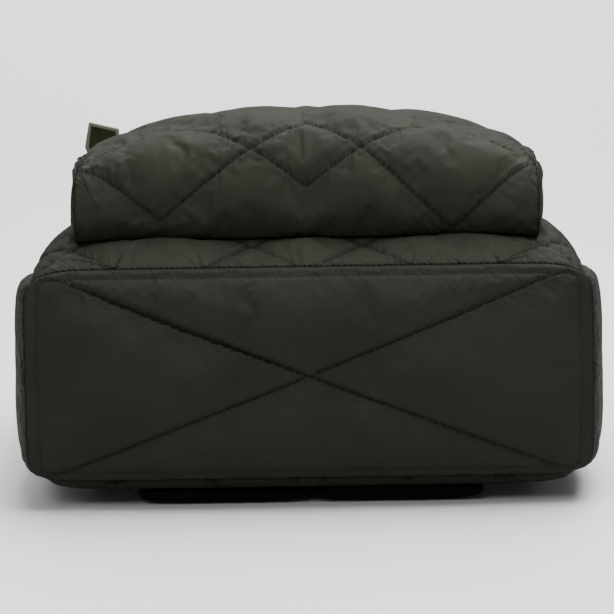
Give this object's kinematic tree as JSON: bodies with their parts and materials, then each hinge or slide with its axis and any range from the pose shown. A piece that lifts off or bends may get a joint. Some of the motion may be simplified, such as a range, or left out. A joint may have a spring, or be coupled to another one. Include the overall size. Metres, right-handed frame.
{
  "type": "quilted puffer backpack",
  "caption": "Quilted puffer backpack with a deep front pocket, lying on its shoulder straps with its bottom to the front.",
  "frame": {"origin": "on the floor, under the middle of the bag", "axes": "+Y from the bag's bottom to its top, +Z from its back to its front pocket, +X to the right"},
  "size_m": [0.3444, 0.4504, 0.213],
  "materials": {
    "shell": "quilted satin-matt nylon",
    "back": "plain matt nylon over padding",
    "webbing": "ribbed webbing",
    "zip": "woven tape with a nylon coil",
    "slider": "dark plated",
    "adjuster": "moulded, satin",
    "tab": "dark olive nylon"
  },
  "bodies": {
    "root": {"front_panel": "shell", "bottom_panel": "shell", "gusset_left": "shell", "gusset_right": "shell", "zip_gusset_back": "shell", "zip_gusset_front": "shell", "pocket_front": "shell", "pocket_side_left": "shell", "pocket_side_right": "shell", "pocket_zip_strip": "shell", "shoulder_strap_left": "shell", "shoulder_strap_right": "shell", "strap_anchor_left": "shell", "strap_anchor_right": "shell", "back_panel": "back", "strap_webbing_left": "webbing", "strap_webbing_right": "webbing", "grab_handle": "webbing", "main_zip": "zip", "pocket_zip": "zip", "main_slider_left": "slider", "main_slider_right": "slider", "pocket_slider": "slider", "strap_adjuster_left": "adjuster", "strap_adjuster_right": "adjuster", "zip_end_tab_left": "tab", "zip_end_tab_right": "tab"}
  },
  "joints": []
}
